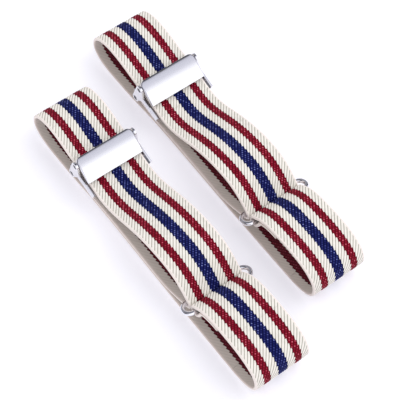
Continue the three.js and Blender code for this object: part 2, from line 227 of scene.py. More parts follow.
# The ring, the slides and the sewn ends
RING_WIRE, RING_WRAP_GAP, RING_TILT = 0.95, 0.4, 16
RING_PLACE = np.array([33.0, 10.4])
SLIDE_X = {"a": -37.5, "b": -34.7}
SLIDE_Z, SLIDE_TILT = 10.3, 14
CHANNEL_FROM, CHANNEL_TO, CHANNEL_LEVEL = -8.2, 9.0, 1.6
BAR_PLACE, BAR_RADIUS = (-4.9, -3.2), 0.8
SEWN_TAIL, SEWN_MERGE, SLIDE_TAIL = 15.0, 6.0, 11.0

ARC_POINTS, RUN_POINTS, EVEN_POINTS = 48, 80, 60
TANGENT_REACH = 0.35
SAME_PLACE = 1e-6

HALF_THICK = STRAP_THICK / 2
LAYER = STRAP_THICK + CLEARANCE
RING_WRAP = RING_WIRE + CLEARANCE + HALF_THICK
RING_PITCH = 2 * (RING_WRAP + HALF_THICK) + RING_WRAP_GAP
BAR_WRAP = BAR_RADIUS + CLEARANCE + HALF_THICK


def heading(degrees):
    """Unit vector at an angle from +x."""
    return np.array([np.cos(np.radians(degrees)), np.sin(np.radians(degrees))])


def arc(centre, radius, start, end):
    """A circle's stretch: centre + radius * heading(angle), angle going from start to end."""
    angles = np.radians(np.linspace(start, end, ARC_POINTS))
    return centre + radius * np.stack([np.cos(angles), np.sin(angles)], axis=1)


def run(start, start_heading, end, end_heading, pull_start=PULL, pull_end=None):
    """A cubic Bezier whose handles lie on the two headings and are shares of its span."""
    start, end = np.array(start, float), np.array(end, float)
    span = np.linalg.norm(end - start)
    first = start + heading(start_heading) * span * pull_start
    second = end - heading(end_heading) * span * (pull_start if pull_end is None else pull_end)
    t = np.linspace(0, 1, RUN_POINTS)[:, None]
    return ((1 - t) ** 3 * start + 3 * (1 - t) ** 2 * t * first
            + 3 * (1 - t) * t ** 2 * second + t ** 3 * end)


def shifted(points, distance):
    """The points moved to their left: each goes along its tangent turned by a right angle."""
    along = np.gradient(points, axis=0)
    along /= np.linalg.norm(along, axis=1)[:, None]
    return points + distance * np.stack([-along[:, 1], along[:, 0]], axis=1)


def lengths(points):
    """Distance along the points from the first one to each."""
    steps = np.linalg.norm(np.diff(points, axis=0), axis=1)
    return np.concatenate([[0.0], np.cumsum(steps)])


def between(points, start, end, count=EVEN_POINTS):
    """The points from one distance along them to another, evenly spaced."""
    at = np.linspace(start, end, count)
    reach = lengths(points)
    return np.stack([np.interp(at, reach, points[:, k]) for k in (0, 1)], axis=1)


def heading_at(points, index):
    """Heading of the points at the first or last of them, in degrees."""
    step = points[1] - points[0] if index == 0 else points[-1] - points[-2]
    return np.degrees(np.arctan2(step[1], step[0]))


def from_slide(slide_x, flat, upright):
    """Places in the side view of points that lie flat along the slide's bed and upright from it:
    the slide's centre plus each distance along the bed's own two headings."""
    centre = np.array([slide_x, SLIDE_Z])
    along_bed = np.multiply.outer(flat, heading(-SLIDE_TILT))
    return centre + along_bed + np.multiply.outer(upright, heading(90 - SLIDE_TILT))


ring_left_bar = RING_PLACE - heading(RING_TILT) * RING_PITCH / 2
ring_right_bar = RING_PLACE + heading(RING_TILT) * RING_PITCH / 2
left_end = -LOOP_LENGTH / 2 + HALF_THICK
right_end = LOOP_LENGTH / 2 - HALF_THICK
left_foot = left_end + FOOT_INSET
right_foot = right_end - FOOT_INSET

right_crest = np.array([RIGHT_CREST_X, RIGHT_HEIGHT - HALF_THICK])
right_start = ring_right_bar + RING_WRAP * heading(90 + RIGHT_RISE)
right_run = run(right_start, RIGHT_RISE, right_crest, 0, PULL, RIGHT_EASE)
sewn_path = between(shifted(right_run, -LAYER), SEWN_MERGE, SEWN_TAIL)[::-1]
tail_start = ring_right_bar + RING_WRAP * heading(270 + TAIL_RISE)
tail_run = run(sewn_path[-1], heading_at(sewn_path, -1), tail_start, 180 + TAIL_RISE)
ring_end_turn = arc(ring_right_bar, RING_WRAP, 270 + TAIL_RISE, 90 + RIGHT_RISE)

right_tip = (right_end, RIGHT_HEIGHT * TIP_SHARE)
right_fold = np.concatenate([
    run(right_crest, 0, right_tip, -90, CREST_PULL, TIP_PULL),
    run(right_tip, -90, (right_foot, HALF_THICK), 180, TIP_PULL, CREST_PULL)[1:]])

arch_top = (ARCH_X, HALF_THICK + BASE_ARCH)
arch_start = (right_foot - FOOT_RIGHT, HALF_THICK)
arch_end = (left_foot + FOOT_LEFT, HALF_THICK)
base_run = np.concatenate([
    run((right_foot, HALF_THICK), 180, arch_start, 180),
    run(arch_start, 180, arch_top, 180, FLAT_PULL)[1:],
    run(arch_top, 180, arch_end, 180, FLAT_PULL)[1:],
    run(arch_end, 180, (left_foot, HALF_THICK), 180)[1:]])

left_crest = (LEFT_CREST_X, LEFT_HEIGHT - HALF_THICK)
left_tip = (left_end, LEFT_HEIGHT * TIP_SHARE)
left_fold = np.concatenate([
    run((left_foot, HALF_THICK), 180, left_tip, 90, CREST_PULL, TIP_PULL),
    run(left_tip, 90, left_crest, 0, TIP_PULL, CREST_PULL)[1:]])

hump_crest = (HUMP_CREST_X, HUMP_HEIGHT - HALF_THICK)
hump_end = ring_left_bar + RING_WRAP * heading(90 - HUMP_FALL)
hump_fall = run(hump_crest, 0, hump_end, -HUMP_FALL, *FALL_PULL)
ring_turn = arc(ring_left_bar, RING_WRAP, 90 - HUMP_FALL, RETURN_FALL - 90)

over_base = shifted(base_run, -LAYER)
landing = int(np.argmin(abs(over_base[:, 0] - LANDING_X)))
liftoff = int(np.argmin(abs(over_base[:, 0] - LIFTOFF_X)))
on_base = over_base[landing:liftoff + 1]
return_start = ring_left_bar + RING_WRAP * heading(RETURN_FALL - 90)
return_drop = run(return_start, 180 + RETURN_FALL, on_base[0], heading_at(on_base, 0), FLAT_PULL)


class StrapRoute:
    """The strap of one band, whose slide sits at slide_x: the stretches that pass the slide are
    Bezier runs to and from its channel and its bar, and the others are the same in both bands."""

    def __init__(self, slide_x):
        slide_entry = from_slide(slide_x, CHANNEL_FROM, CHANNEL_LEVEL)
        slide_exit = from_slide(slide_x, CHANNEL_TO, CHANNEL_LEVEL)
        front_run = run(slide_exit, -SLIDE_TILT, hump_crest, 0, *FRONT_PULL)
        front_length = lengths(front_run)[-1]
        front_split = front_length * FRONT_SHARE

        bar_centre = from_slide(slide_x, *BAR_PLACE)
        return_end = bar_centre + BAR_WRAP * heading(270 - BAR_RISE)
        rise_run = run(on_base[-1], heading_at(on_base, -1), return_end, 180 - BAR_RISE, FLAT_PULL)
        self.sewn_to_bar = between(shifted(rise_run, -LAYER)[::-1], SEWN_MERGE, SLIDE_TAIL)
        bar_turn = arc(bar_centre, BAR_WRAP, 270 - BAR_RISE, 90 - BAR_FALL)
        bar_tail = run(bar_turn[-1], -BAR_FALL,
                       self.sewn_to_bar[0], heading_at(self.sewn_to_bar, 0))

        stretches = {
            "ring_end": [sewn_path, tail_run, ring_end_turn, right_run],
            "right_fold": [right_fold],
            "base_run": [base_run],
            "left_fold": [left_fold],
            "left_run": [run(left_crest, 0, slide_entry, -SLIDE_TILT)],
            "in_slide": [run(slide_entry, -SLIDE_TILT, slide_exit, -SLIDE_TILT)],
            "front_run": [between(front_run, 0, front_split)],
            "hump": [between(front_run, front_split, front_length),
                     hump_fall, ring_turn, return_drop],
            "return_run": [on_base],
            "slide_end": [rise_run, bar_turn, bar_tail, self.sewn_to_bar],
        }
        points = np.concatenate([part for parts in stretches.values() for part in parts])
        moved = np.linalg.norm(np.diff(points, axis=0), axis=1) > SAME_PLACE
        self.points = points[np.concatenate([[True], moved])]
        self.reach = lengths(self.points)
        sizes = [sum(lengths(part)[-1] for part in parts) for parts in stretches.values()]
        ends = np.cumsum(sizes)
        self.spans = dict(zip(stretches, zip(np.concatenate([[0.0], ends[:-1]]), ends)))

    def at(self, distance):
        """Places in the side view at distances along the strap."""
        places = [np.interp(distance, self.reach, self.points[:, k]) for k in (0, 1)]
        return np.stack(places, axis=-1)

    def frame_at(self, distance):
        """Middle of the strap and its outward normal at distances along it; the tangent is taken
        over a short way to each side, which rounds the joins between stretches."""
        along = self.at(distance + TANGENT_REACH) - self.at(distance - TANGENT_REACH)
        along /= np.linalg.norm(along, axis=-1)[..., None]
        return self.at(distance), np.stack([-along[..., 1], along[..., 0]], axis=-1)


# Each band's place on the table comes from its run along the table
base_middle = (base_run[0, 0] + base_run[-1, 0]) / 2
routes = {band: StrapRoute(slide_x) for band, slide_x in SLIDE_X.items()}
band_places = {}
for band in routes:
    base_centre = np.mean(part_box("strap_base_run_" + band), axis=0)
    band_places[band] = np.array([base_centre[0] - base_middle * MM, base_centre[1], 0.0])

# ---- Webbing -----------------------------------------------------------------------------------
# Woven elastic, 25 mm wide: seven stripes of cotton warp over rubber, in a steep twill with a
# narrow plain selvedge.  The dyed warps break into beads, and the stripes show on both faces.

# The twill: ribs square to the direction (RIB_ALONG, RIB_ACROSS), cut into beads where dyed
RIB_PITCH = 1.145
RIB_ALONG, RIB_ACROSS = 0.597, 0.802
RIB_HEIGHT = 0.20
RIB_LEVEL = 0.6
RIB_FULLNESS = 0.8
BEAD_PITCH = 0.92
BEAD_FLOOR = 0.35

# The stripes, from the strap's middle line outwards
NAVY_HALF = 2.15
RED_MIDDLE, RED_HALF = 7.2, 1.55
SELVEDGE_FROM, SELVEDGE_BLEND, SELVEDGE_HEIGHT = 11.75, 0.6, 0.55

# The section's rounded edges, its back's share of the relief and its steps
EDGE_RADIUS = 0.62
EDGE_STEPS = 7
BACK_RELIEF = 0.2
FACE_STEP = 0.25
BACK_STEP = 0.5


def weave_height(along, across):
    """Height of the woven face, from 0 to 1: a rounded ridge for each rib, broken into beads
    where the warp is dyed, and fading to a low plain face at the selvedge."""
    size = abs(across)
    phase = (RIB_ALONG * along + RIB_ACROSS * across) / RIB_PITCH
    ridge = 0.5 + 0.5 * np.cos(2 * np.pi * phase)
    stagger = 0.5 * np.floor(phase + 0.5)
    bead_phase = (RIB_ACROSS * along - RIB_ALONG * across) / BEAD_PITCH + stagger
    bead = 0.5 + 0.5 * np.cos(2 * np.pi * bead_phase)
    dyed = (size < NAVY_HALF) | (abs(size - RED_MIDDLE) < RED_HALF)
    beaded = ridge * (BEAD_FLOOR + (1 - BEAD_FLOOR) * bead)
    height = np.where(dyed, beaded, ridge ** RIB_FULLNESS)
    plain = np.clip((size - SELVEDGE_FROM) / SELVEDGE_BLEND + 0.5, 0, 1)
    return height * (1 - plain) + SELVEDGE_HEIGHT * plain


def strap_section():
    """The webbing's cross-section as a closed ring of points: the striped face, a rounded edge,
    the back and the other edge.  Gives each point's place across and its rise, the signed share
    of the weave's relief that it takes, and which points are on the back."""
    half = STRAP_WIDTH / 2
    flat = half - EDGE_RADIUS
    face = np.linspace(-flat, flat, int(2 * flat / FACE_STEP) + 1)
    rear = np.linspace(flat, -flat, int(2 * flat / BACK_STEP) + 1)
    turn = np.radians(np.linspace(90, -90, EDGE_STEPS))[1:-1]
    out, up = EDGE_RADIUS * np.cos(turn), HALF_THICK * np.sin(turn)
    plain = np.zeros(len(turn))
    across = np.concatenate([face, flat + out, rear, -flat - out[::-1]])
    rise = np.concatenate([np.full(len(face), HALF_THICK), up,
                           np.full(len(rear), -HALF_THICK), up[::-1]])
    relief = np.concatenate([np.ones(len(face)), plain, np.full(len(rear), -BACK_RELIEF), plain])
    # The back's cloth takes the lower facets of both edges too
    place = np.arange(len(across))
    is_back = (place >= len(face) + 2) & (place < len(across) - 4)
    return across, rise, relief, is_back


def tube_mesh(name, points, uv):
    """Closed mesh of a grid whose columns go round a section and whose rows go along it; each
    end is closed with one flat face.  uv gives each point's place in the pattern."""
    rows, columns = points.shape[:2]
    index = np.arange(rows * columns).reshape(rows, columns)
    beside = np.roll(index, -1, axis=1)
    quads = np.stack([index[:-1], beside[:-1], beside[1:], index[1:]], axis=-1).reshape(-1, 4)
    corners = np.concatenate([quads.ravel(), index[0][::-1], index[-1]]).astype(np.int32)
    first = np.concatenate([np.arange(len(quads)) * 4, [len(quads) * 4, len(quads) * 4 + columns]])
    mesh = bpy.data.meshes.new(name)
    mesh.vertices.add(rows * columns)
    mesh.vertices.foreach_set("co", points.astype(np.float32).ravel())
    mesh.loops.add(len(corners))
    mesh.loops.foreach_set("vertex_index", corners)
    mesh.polygons.add(len(first))
    mesh.polygons.foreach_set("loop_start", first.astype(np.int32))
    mesh.update(calc_edges=True)
    corner_uv = uv.reshape(-1, 2)[corners].astype(np.float32)
    mesh.uv_layers.new(name="weave").data.foreach_set("uv", corner_uv.ravel())
    mesh.polygons.foreach_set("use_smooth", np.ones(len(first), bool))
    return mesh


def add_piece(name, mesh, material_slot, *materials):
    """Links a finished mesh as a piece of the model."""
    for material in materials:
        mesh.materials.append(material)
    piece = bpy.data.objects.new(name, mesh)
    bpy.context.scene.collection.objects.link(piece)
    return piece


# The saw edge of the stripes, the painted shade of the dyed beads and of the cream with their
# random lightness and slub, the painted glints, and fine yarns
TOOTH_REACH, TOOTH_START = 0.46, -0.30
VALLEY_SHADE_SHARE = 0.38
EDGE_SHADE, EDGE_RISE = 0.30, 1.7
TONE_FLOOR, BEAD_SHADE_WEIGHT, TONE_CHANCE = 0.12, 0.65, 0.40
LIT_DOME, LIT_RARITY = 0.66, 2.6
SLUB_SCALE, SLUB_SHARE = 420.0, 0.3
CREAM_VALLEY_SHADE, CREAM_FLOOR = 0.92, -0.12
SELVEDGE_TINT = (1.0, 0.955, 0.965)
YARN_PITCH, YARN_SHARE = 0.42, 0.6
YARN_BUMP, YARN_HEIGHT = 0.35, 0.05 * MM
WEBBING_ROUGHNESS, WEBBING_SHEEN, WEBBING_SPECULAR = 0.88, 0.02, 0.12


def webbing_material(name, cream, cream_dark_and_shade, red, red_dark_and_shade, red_lit, navy, navy_dark_and_shade, navy_lit):
    """Striped twill, from the pattern's place along and across the strap in metres.  The rib's
    phase, RIB_ALONG * along + RIB_ACROSS * across over the pitch, gives the ridges; the phase
    square to it cuts them into beads; both give the saw edge of each stripe.  Each yarn colour
    is mixed with its own dark as painted shade in the valleys and towards the dyed beads' ends;
    dyed beads also vary at random, and a few crowns of them get a painted glint."""
    material, tree, shader = new_material(name, cream[:3], WEBBING_ROUGHNESS)

    def calc(operation, *values):
        return math(tree, operation, *values)

    # Place along and across the strap, in millimetres
    place = add_node(tree, "ShaderNodeUVMap", uv_map="weave").outputs[0]
    split = add_node(tree, "ShaderNodeSeparateXYZ")
    feed(tree, split.inputs[0], place)
    along = calc("MULTIPLY", split.outputs[0], 1 / MM)
    across = calc("MULTIPLY", split.outputs[1], 1 / MM)
    size = calc("ABSOLUTE", across)

    # Ribs and beads, as in weave_height
    phase = calc("ADD", calc("MULTIPLY", along, RIB_ALONG / RIB_PITCH),
                 calc("MULTIPLY", across, RIB_ACROSS / RIB_PITCH))
    ridge = calc("MULTIPLY_ADD", calc("COSINE", calc("MULTIPLY", phase, 2 * np.pi)), 0.5, 0.5)
    rib = calc("FLOOR", calc("ADD", phase, 0.5))
    bead_phase = calc("SUBTRACT", calc("MULTIPLY", along, RIB_ACROSS / BEAD_PITCH),
                      calc("MULTIPLY", across, RIB_ALONG / BEAD_PITCH))
    bead_phase = calc("ADD", bead_phase, calc("MULTIPLY", rib, 0.5))
    bead_wave = calc("COSINE", calc("MULTIPLY", bead_phase, 2 * np.pi))
    dome = calc("MULTIPLY", ridge, calc("MULTIPLY_ADD", bead_wave, 0.5, 0.5))

    # One random number a bead
    cell = add_node(tree, "ShaderNodeCombineXYZ")
    feed(tree, cell.inputs[0], rib)
    feed(tree, cell.inputs[1], calc("FLOOR", calc("ADD", bead_phase, 0.5)))
    noise = add_node(tree, "ShaderNodeTexWhiteNoise", noise_dimensions="2D")
    feed(tree, noise.inputs["Vector"], cell.outputs[0])
    chance = noise.outputs["Value"]

    # Depth inside each stripe, whose edge follows the ribs
    tooth = calc("MULTIPLY_ADD", ridge, TOOTH_REACH, TOOTH_START)
    from_red = calc("ABSOLUTE", calc("SUBTRACT", size, RED_MIDDLE))
    red_depth = calc("SUBTRACT", RED_HALF, calc("ADD", from_red, tooth))
    navy_depth = calc("SUBTRACT", NAVY_HALF, calc("ADD", size, tooth))

    # Painted shade of a dyed bead, in the valley and towards the bead's ends, with random darkness,
    # darker at the stripe's edge, and a painted glint on a few crowns
    valley_shade_range = add_node(tree, "ShaderNodeMapRange", interpolation_type="SMOOTHSTEP")
    feed(tree, valley_shade_range.inputs["Value"], ridge)
    valley_shade_range.inputs["From Max"].default_value = VALLEY_SHADE_SHARE
    painted_crown_light = valley_shade_range.outputs[0]
    painted_bead_shade = calc("MULTIPLY_ADD", dome, BEAD_SHADE_WEIGHT, TONE_FLOOR)
    shade_and_tone = calc("MULTIPLY", painted_crown_light, calc("MULTIPLY_ADD", chance, TONE_CHANCE, painted_bead_shade))
    # Painted glints: a few bead crowns in a bright copy of the dye
    lit = calc("MULTIPLY", calc("GREATER_THAN", dome, LIT_DOME), calc("POWER", chance, LIT_RARITY))

    # Cream cloth with painted shade in the valleys and a little slub, and a plain selvedge
    slub = add_node(tree, "ShaderNodeTexNoise", noise_dimensions="2D")
    slub.inputs["Scale"].default_value = SLUB_SCALE
    feed(tree, slub.inputs["Vector"], place)
    slub_tone = calc("MULTIPLY_ADD", slub.outputs["Fac"], SLUB_SHARE, CREAM_FLOOR)
    cream_shade_and_slub = calc("MULTIPLY_ADD", painted_crown_light, CREAM_VALLEY_SHADE, slub_tone)
    selvedge = tuple(part * tint for part, tint in zip(cream, SELVEDGE_TINT)) + (1,)
    colour = mix_colour(tree, calc("GREATER_THAN", size, SELVEDGE_FROM),
                        mix_colour(tree, cream_shade_and_slub, cream_dark_and_shade, cream), selvedge)

    # Each stripe's dark colour gives painted shade and random darkness, and its bright colour gives
    # a painted glint
    for depth, low, full, painted_glint_colour in ((red_depth, red_dark_and_shade, red, red_lit),
                                    (navy_depth, navy_dark_and_shade, navy, navy_lit)):
        edge = calc("MINIMUM", calc("MULTIPLY_ADD", depth, EDGE_RISE, EDGE_SHADE), 1.0)
        dyed = mix_colour(tree, calc("MULTIPLY", shade_and_tone, edge), low, full)
        dyed = mix_colour(tree, lit, dyed, painted_glint_colour)
        colour = mix_colour(tree, calc("GREATER_THAN", depth, 0.0), colour, dyed)
    feed(tree, shader.inputs["Base Color"], colour)

    # Fine yarns along the strap, as bump only: the ribs themselves are in the mesh
    yarn = calc("ABSOLUTE", calc("SINE", calc("MULTIPLY", across, np.pi / YARN_PITCH)))
    bump = add_node(tree, "ShaderNodeBump")
    bump.inputs["Strength"].default_value = YARN_BUMP
    bump.inputs["Distance"].default_value = YARN_HEIGHT
    feed(tree, bump.inputs["Height"],
         calc("ADD", calc("MULTIPLY", yarn, YARN_SHARE), slub.outputs["Fac"]))
    feed(tree, shader.inputs["Normal"], bump.outputs[0])
    shader.inputs["Sheen Weight"].default_value = WEBBING_SHEEN
    shader.inputs["Specular IOR Level"].default_value = WEBBING_SPECULAR
    return material


# Colours of each yarn: its dark for painted shade and random darkness, and a bright one for painted
# glints
webbing_face = webbing_material(
    "webbing_face",
    cream=(0.88, 0.84, 0.79, 1), cream_dark_and_shade=(0.36, 0.34, 0.29, 1),
    red=(0.33, 0.006, 0.030, 1), red_dark_and_shade=(0.085, 0.001, 0.006, 1),
    red_lit=(0.72, 0.20, 0.26, 1),
    navy=(0.014, 0.020, 0.16, 1), navy_dark_and_shade=(0.001, 0.002, 0.035, 1),
    navy_lit=(0.26, 0.30, 0.62, 1))
# The back: the stripes in duller, darker colours, darkened further as painted shade for the inside
# of the loops, with dim painted glints
webbing_back_shaded = webbing_material(
    "webbing_back_shaded",
    cream=(0.70, 0.635, 0.585, 1), cream_dark_and_shade=(0.63, 0.57, 0.52, 1),
    red=(0.20, 0.022, 0.04, 1), red_dark_and_shade=(0.07, 0.004, 0.01, 1),
    red_lit=(0.28, 0.10, 0.12, 1),
    navy=(0.03, 0.035, 0.11, 1), navy_dark_and_shade=(0.008, 0.01, 0.04, 1),
    navy_lit=(0.12, 0.13, 0.22, 1))

section_across, section_rise, section_relief, section_is_back = strap_section()


def strap_mesh(name, route, start, end, step, shift, offset):
    """The webbing between two distances along its route: the route's middle plus the section,
    whose face stands out along the normal by the height of the weave.  The pattern's place is
    the distance plus the band's own offset."""
    along = np.linspace(start, end, int(np.ceil((end - start) / step)) + 1)
    middle, normal = route.frame_at(along)
    woven = (along + offset)[:, None]
    relief = RIB_HEIGHT * (weave_height(woven, section_across[None, :]) - RIB_LEVEL)
    rise = section_rise + section_relief * relief
    across = np.broadcast_to(section_across, rise.shape)
    x = middle[:, 0, None] + normal[:, 0, None] * rise
    z = middle[:, 1, None] + normal[:, 1, None] * rise
    points = np.stack([x, across, z], axis=-1) * MM + shift
    uv = np.stack([np.broadcast_to(woven, rise.shape), across], axis=-1) * MM
    mesh = tube_mesh(name, points, uv)
    back = np.concatenate([np.tile(section_is_back, len(along) - 1), [True, True]])
    mesh.polygons.foreach_set("material_index", back.astype(np.int32))
    return mesh


RIDES_SLIDE = ("in_slide", "slide_end")
STRETCHES = {
    "left_run": ("band_", "slide_"),
    "front_run": ("slide_", "band_"),
    "return_run": ("slide_", "band_"),
}
STEP_FINE, STEP_COARSE = 0.3, 0.5
WEAVE_OFFSET = {"a": 0.0, "b": 3.7}

for band, route in routes.items():
    for part, (start, end) in route.spans.items():
        node, name = f"strap_{part}_{band}", f"webbing_{part}_{band}"
        step = STEP_COARSE if part == "base_run" else STEP_FINE
        mesh = strap_mesh(name, route, start, end, step, band_places[band], WEAVE_OFFSET[band])
        piece = add_piece(name, mesh, "webbing", webbing_face, webbing_back_shaded)
        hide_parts(node)
        if part in STRETCHES:
            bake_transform(piece)
        else:
            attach(piece, ("slide_" if part in RIDES_SLIDE else "band_") + band)

# ---- Stitching ---------------------------------------------------------------------------------
# Each sewn end is held by one row of zigzag stitches in cream thread, on the tail's free side.
# The thread dives into the webbing at every turn of the zigzag.

STITCH_THROW = 3.0
STITCH_COUNT = 16
STITCH_INSET = 1.5
STITCH_SAMPLES = 9
THREAD_RADIUS = 0.21
THREAD_SIDES = 8
THREAD_SUNK, THREAD_ARCH = 0.08, 0.17
THREAD_CREAM, THREAD_ROUGHNESS = (0.80, 0.76, 0.70), 0.7
TWIST_SCALE = 900.0
TWIST_DARK, TWIST_LIGHT = (0.62, 0.57, 0.50, 1), (0.84, 0.80, 0.74, 1)

thread, thread_tree, thread_shader = new_material("thread", THREAD_CREAM, THREAD_ROUGHNESS)
twist = add_node(thread_tree, "ShaderNodeTexWave", wave_type="BANDS", bands_direction="DIAGONAL")
twist.inputs["Scale"].default_value = TWIST_SCALE
twist_place = add_node(thread_tree, "ShaderNodeUVMap", uv_map="weave").outputs[0]
feed(thread_tree, twist.inputs["Vector"], twist_place)
twist_colour = mix_colour(thread_tree, twist.outputs["Fac"], TWIST_DARK, TWIST_LIGHT)
feed(thread_tree, thread_shader.inputs["Base Color"], twist_colour)


def stitching_mesh(name, path, shift):
    """A thread along a zigzag that spans the webbing: a circle carried along the zigzag, which
    lies on the webbing and sinks at each turn by the root of a rectified sine."""
    middle = between(path, 0, lengths(path)[-1], 3)
    along = middle[2] - middle[0]
    along /= np.linalg.norm(along)
    normal = np.array([-along[1], along[0]])
    t = np.linspace(0, STITCH_COUNT, STITCH_COUNT * STITCH_SAMPLES + 1)
    zigzag = STITCH_THROW * (0.5 - abs((t % 2) - 1))
    across = (t / STITCH_COUNT - 0.5) * (STRAP_WIDTH - 2 * STITCH_INSET)
    rise = HALF_THICK + THREAD_SUNK + THREAD_ARCH * np.sqrt(abs(np.sin(np.pi * t)))
    centre = middle[1] + zigzag[:, None] * along + rise[:, None] * normal
    spine = np.stack([centre[:, 0], across, centre[:, 1]], axis=1)

    tangent = np.gradient(spine, axis=0)
    tangent /= np.linalg.norm(tangent, axis=1)[:, None]
    side = np.cross(tangent, [normal[0], 0.0, normal[1]])
    side /= np.linalg.norm(side, axis=1)[:, None]
    over = np.cross(side, tangent)
    turn = np.linspace(0, 2 * np.pi, THREAD_SIDES, endpoint=False)
    ring = np.multiply.outer(np.cos(turn), side) + np.multiply.outer(np.sin(turn), over)
    points = (spine[:, None, :] + THREAD_RADIUS * ring.swapaxes(0, 1)) * MM + shift

    steps = np.linalg.norm(np.diff(spine, axis=0), axis=1)
    reach = np.concatenate([[0], np.cumsum(steps)])
    uv = np.stack(np.broadcast_arrays(reach[:, None], turn[None, :] * THREAD_RADIUS), axis=-1)
    return tube_mesh(name, points, uv * MM)


for band, route in routes.items():
    for part, path, body in (("ring_end", sewn_path, "band_"),
                             ("slide_end", route.sewn_to_bar, "slide_")):
        name = f"zigzag_{part}_{band}"
        mesh = stitching_mesh(name, path, band_places[band])
        piece = add_piece(name, mesh, "thread", thread)
        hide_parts(f"stitching_{part}_{band}")
        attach(piece, body + band)

# ---- Chrome parts ------------------------------------------------------------------------------
# The slide's body, lever, pin and bar and the wire ring are steel with bright chrome.  Stamped
# edges are broken with a small round, and the plating has a fine haze of handling marks.

CHROME_TINT, CHROME_ROUGHNESS = (0.86, 0.86, 0.90), 0.13
HAZE_SCALE, HAZE_DETAIL = 260.0, 6.0
HAZE_CLEAR, HAZE_DULL = 0.10, 0.19
RIPPLE_STRENGTH, RIPPLE_HEIGHT = 0.08, 0.1 * MM
# Near-black for the pin and bar ends: painted shade for the dark recess round each end
END_FACE_SHADE, STEEL_ROUGHNESS = (0.10, 0.10, 0.11), 0.45

chrome, chrome_tree, chrome_shader = new_material("chrome", CHROME_TINT, CHROME_ROUGHNESS, 1.0)
haze = add_node(chrome_tree, "ShaderNodeTexNoise")
haze.inputs["Scale"].default_value = HAZE_SCALE
haze.inputs["Detail"].default_value = HAZE_DETAIL
chrome_place = add_node(chrome_tree, "ShaderNodeTexCoord").outputs["Object"]
feed(chrome_tree, haze.inputs["Vector"], chrome_place)
haze_range = add_node(chrome_tree, "ShaderNodeMapRange")
haze_range.inputs["To Min"].default_value = HAZE_CLEAR
haze_range.inputs["To Max"].default_value = HAZE_DULL
feed(chrome_tree, haze_range.inputs["Value"], haze.outputs["Fac"])
feed(chrome_tree, chrome_shader.inputs["Roughness"], haze_range.outputs["Result"])
ripple = add_node(chrome_tree, "ShaderNodeBump")
ripple.inputs["Strength"].default_value = RIPPLE_STRENGTH
ripple.inputs["Distance"].default_value = RIPPLE_HEIGHT
feed(chrome_tree, ripple.inputs["Height"], haze.outputs["Fac"])
feed(chrome_tree, chrome_shader.inputs["Normal"], ripple.outputs[0])
painted_end_shade, _, _ = new_material("painted_end_shade", END_FACE_SHADE, STEEL_ROUGHNESS, 1.0)

CREASE = np.radians(32)
FLAT_WITHIN = np.radians(1.0)
MERGE_WITHIN, CUT_WITHIN = 1e-6, 1e-7
EASE = {"slide_body": 0.12 * MM, "lever_pin": 0.15 * MM, "strap_bar": 0.15 * MM}
EASE_SEGMENTS = 2
END_FACING = 0.9


def eased_copy(node, name, ease):
    """A copy of a stamped or turned part with its doubles merged, its flat faces joined and its
    sharp edges rounded by ease, in metres."""
    work = bmesh.new()
    work.from_mesh(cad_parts[node].data)
    bmesh.ops.remove_doubles(work, verts=work.verts, dist=MERGE_WITHIN)
    bmesh.ops.dissolve_limit(work, angle_limit=FLAT_WITHIN, verts=work.verts, edges=work.edges)
    mesh = bpy.data.meshes.new(name)
    work.to_mesh(mesh)
    work.free()
    mesh.polygons.foreach_set("use_smooth", np.ones(len(mesh.polygons), bool))
    mesh.set_sharp_from_angle(angle=CREASE)
    piece = add_piece(name, mesh, "chrome", chrome)
    bevel = piece.modifiers.new("eased_edges", "BEVEL")
    bevel.width = ease
    bevel.segments = EASE_SEGMENTS
    bevel.limit_method = "ANGLE"
    bevel.angle_limit = CREASE
    bevel.harden_normals = False
    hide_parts(node)
    return piece


for band in routes:
    for part, ease in EASE.items():
        piece = eased_copy(f"{part}_{band}", f"chrome_{part}_{band}", ease)
        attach(piece, "slide_" + band)
        # The end faces of the pin and bar get the painted shade of their recesses
        if part != "slide_body":
            normals = np.empty(len(piece.data.polygons) * 3)
            piece.data.polygons.foreach_get("normal", normals)
            is_end_face = abs(normals.reshape(-1, 3)[:, 1]) > END_FACING
            piece.data.materials.append(painted_end_shade)
            piece.data.polygons.foreach_set("material_index", is_end_face.astype(np.int32))

# ---- Lever -------------------------------------------------------------------------------------
# One steel sheet, curled at the rear into a toothed knuckle round the pin.  Its cover runs from a
# rounded rear edge down to the lip, and its two sides are folded down beside the webbing.

PIN_PLACE = (-4.2, 5.3)
COVER_REAR, COVER_LIP = (-6.2, 7.55), (4.1, 4.1)
COVER_REAR_HEADING, COVER_LIP_HEADING, COVER_PULL = -4, -31, 0.34
COVER_HALF, COVER_SHEET = 13.1, 0.5
COVER_CORNER, COVER_FOLD = 1.9, 0.7
FLANGE_REAR, FLANGE_LIP = 1.7, 0.75
CORNER_STEPS, COVER_STEPS, FOLD_STEPS = 14, 30, 7
KNUCKLE_REACH, KNUCKLE_SHARE, KNUCKLE_EASE = 2.3, 0.855, 0.08 * MM


